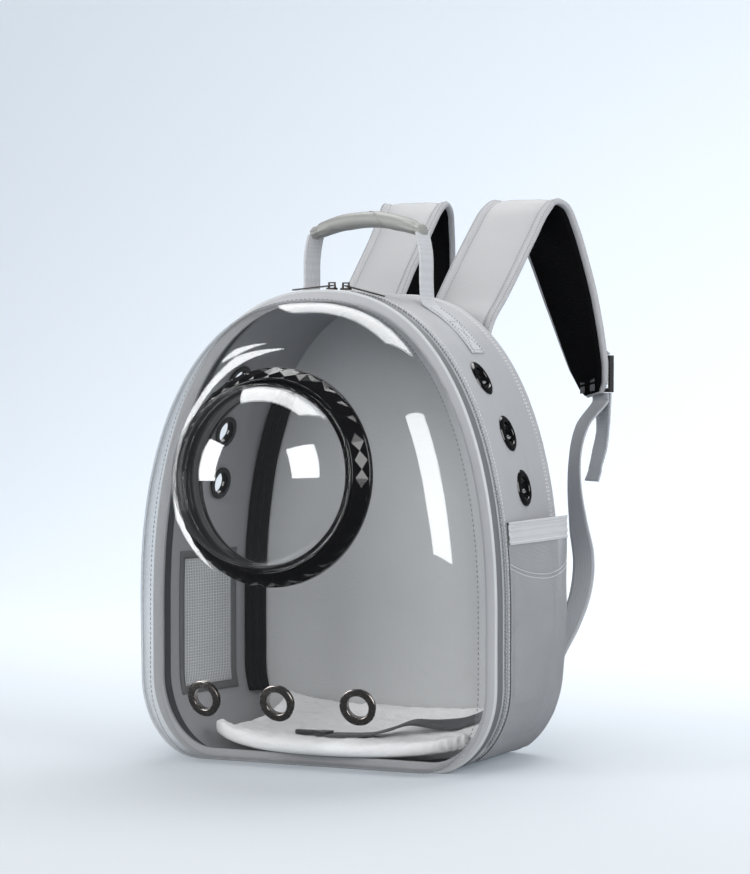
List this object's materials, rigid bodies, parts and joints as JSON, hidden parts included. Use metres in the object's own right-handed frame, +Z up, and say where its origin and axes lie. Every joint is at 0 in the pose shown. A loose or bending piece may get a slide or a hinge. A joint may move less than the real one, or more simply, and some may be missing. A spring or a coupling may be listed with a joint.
{
  "type": "bubble pet carrier backpack",
  "caption": "Pet carrier backpack with a fabric body, a clear moulded front, a round viewing dome, mesh side pockets, a top handle and padded shoulder straps.",
  "frame": {"origin": "middle of the fabric body's base, on the ground", "axes": "+Z up, +Y from the clear front to the back panel, +X to the right as seen from the front"},
  "size_m": [0.365, 0.5732, 0.5141],
  "materials": {
    "soft_grey": "matt coated cloth, fine grain",
    "trim_grey": "woven binding",
    "mesh_grey": "open woven mesh",
    "zip_grey": "coil zip teeth",
    "webbing_grey": "ribbed webbing",
    "mesh_black": "spacer mesh",
    "fold_black": "pleated cloth",
    "gloss_black": "glossy moulded plastic",
    "buckle_black": "satin moulded plastic",
    "dark_nickel": "dark nickel plating",
    "clear_shell": "clear smoke-tinted moulded sheet",
    "clear_dome": "clear moulded dome",
    "plush_white": "plush",
    "leash_grey": "ribbed webbing",
    "leash_fitting": "satin"
  },
  "bodies": {
    "bag": {"gusset": "soft_grey", "back_panel": "soft_grey", "front_strip": "soft_grey", "handle_grip": "soft_grey", "shoulder_strap_right": "soft_grey", "shoulder_strap_left": "soft_grey", "shell_piping": "trim_grey", "zip_tape": "trim_grey", "pocket_band_right": "trim_grey", "pocket_band_left": "trim_grey", "handle_webbing_right": "trim_grey", "handle_webbing_left": "trim_grey", "pocket_right": "mesh_grey", "pocket_left": "mesh_grey", "window_mesh_right": "mesh_grey", "window_mesh_left": "mesh_grey", "zip_teeth": "zip_grey", "strap_webbing_right": "webbing_grey", "strap_webbing_left": "webbing_grey", "strap_tail_right": "webbing_grey", "strap_tail_left": "webbing_grey", "buckle_loop_right": "webbing_grey", "buckle_loop_left": "webbing_grey", "strap_mesh_right": "mesh_black", "strap_mesh_left": "mesh_black", "corner_fold_right": "fold_black", "corner_fold_left": "fold_black", "bubble_ring": "gloss_black", "bubble_retainer": "gloss_black", "side_eyelet_right_1": "gloss_black", "side_eyelet_right_2": "gloss_black", "side_eyelet_right_3": "gloss_black", "side_eyelet_left_1": "gloss_black", "side_eyelet_left_2": "gloss_black", "side_eyelet_left_3": "gloss_black", "ladder_lock_right": "buckle_black", "ladder_lock_left": "buckle_black", "front_eyelet_1": "dark_nickel", "front_eyelet_2": "dark_nickel", "front_eyelet_3": "dark_nickel", "zip_slider_right": "dark_nickel", "zip_slider_left": "dark_nickel", "front_shell": "clear_shell", "bubble_dome": "clear_dome", "floor_mat": "plush_white", "leash": "leash_grey", "leash_clip": "leash_fitting"},
    "pull_right": {"zip_pull_right": "dark_nickel"},
    "pull_left": {"zip_pull_left": "dark_nickel"}
  },
  "joints": [
    {"name": "zip_pull_right_swing", "type": "hinge", "parent": "bag", "child": "pull_right", "pos_m": [0.015, -0.0748, 0.42493], "axis": [0, -1, 0], "range_deg": [0, 100]},
    {"name": "zip_pull_left_swing", "type": "hinge", "parent": "bag", "child": "pull_left", "pos_m": [0.001, -0.0748, 0.4254], "axis": [0, 1, 0], "range_deg": [0, 100]}
  ]
}
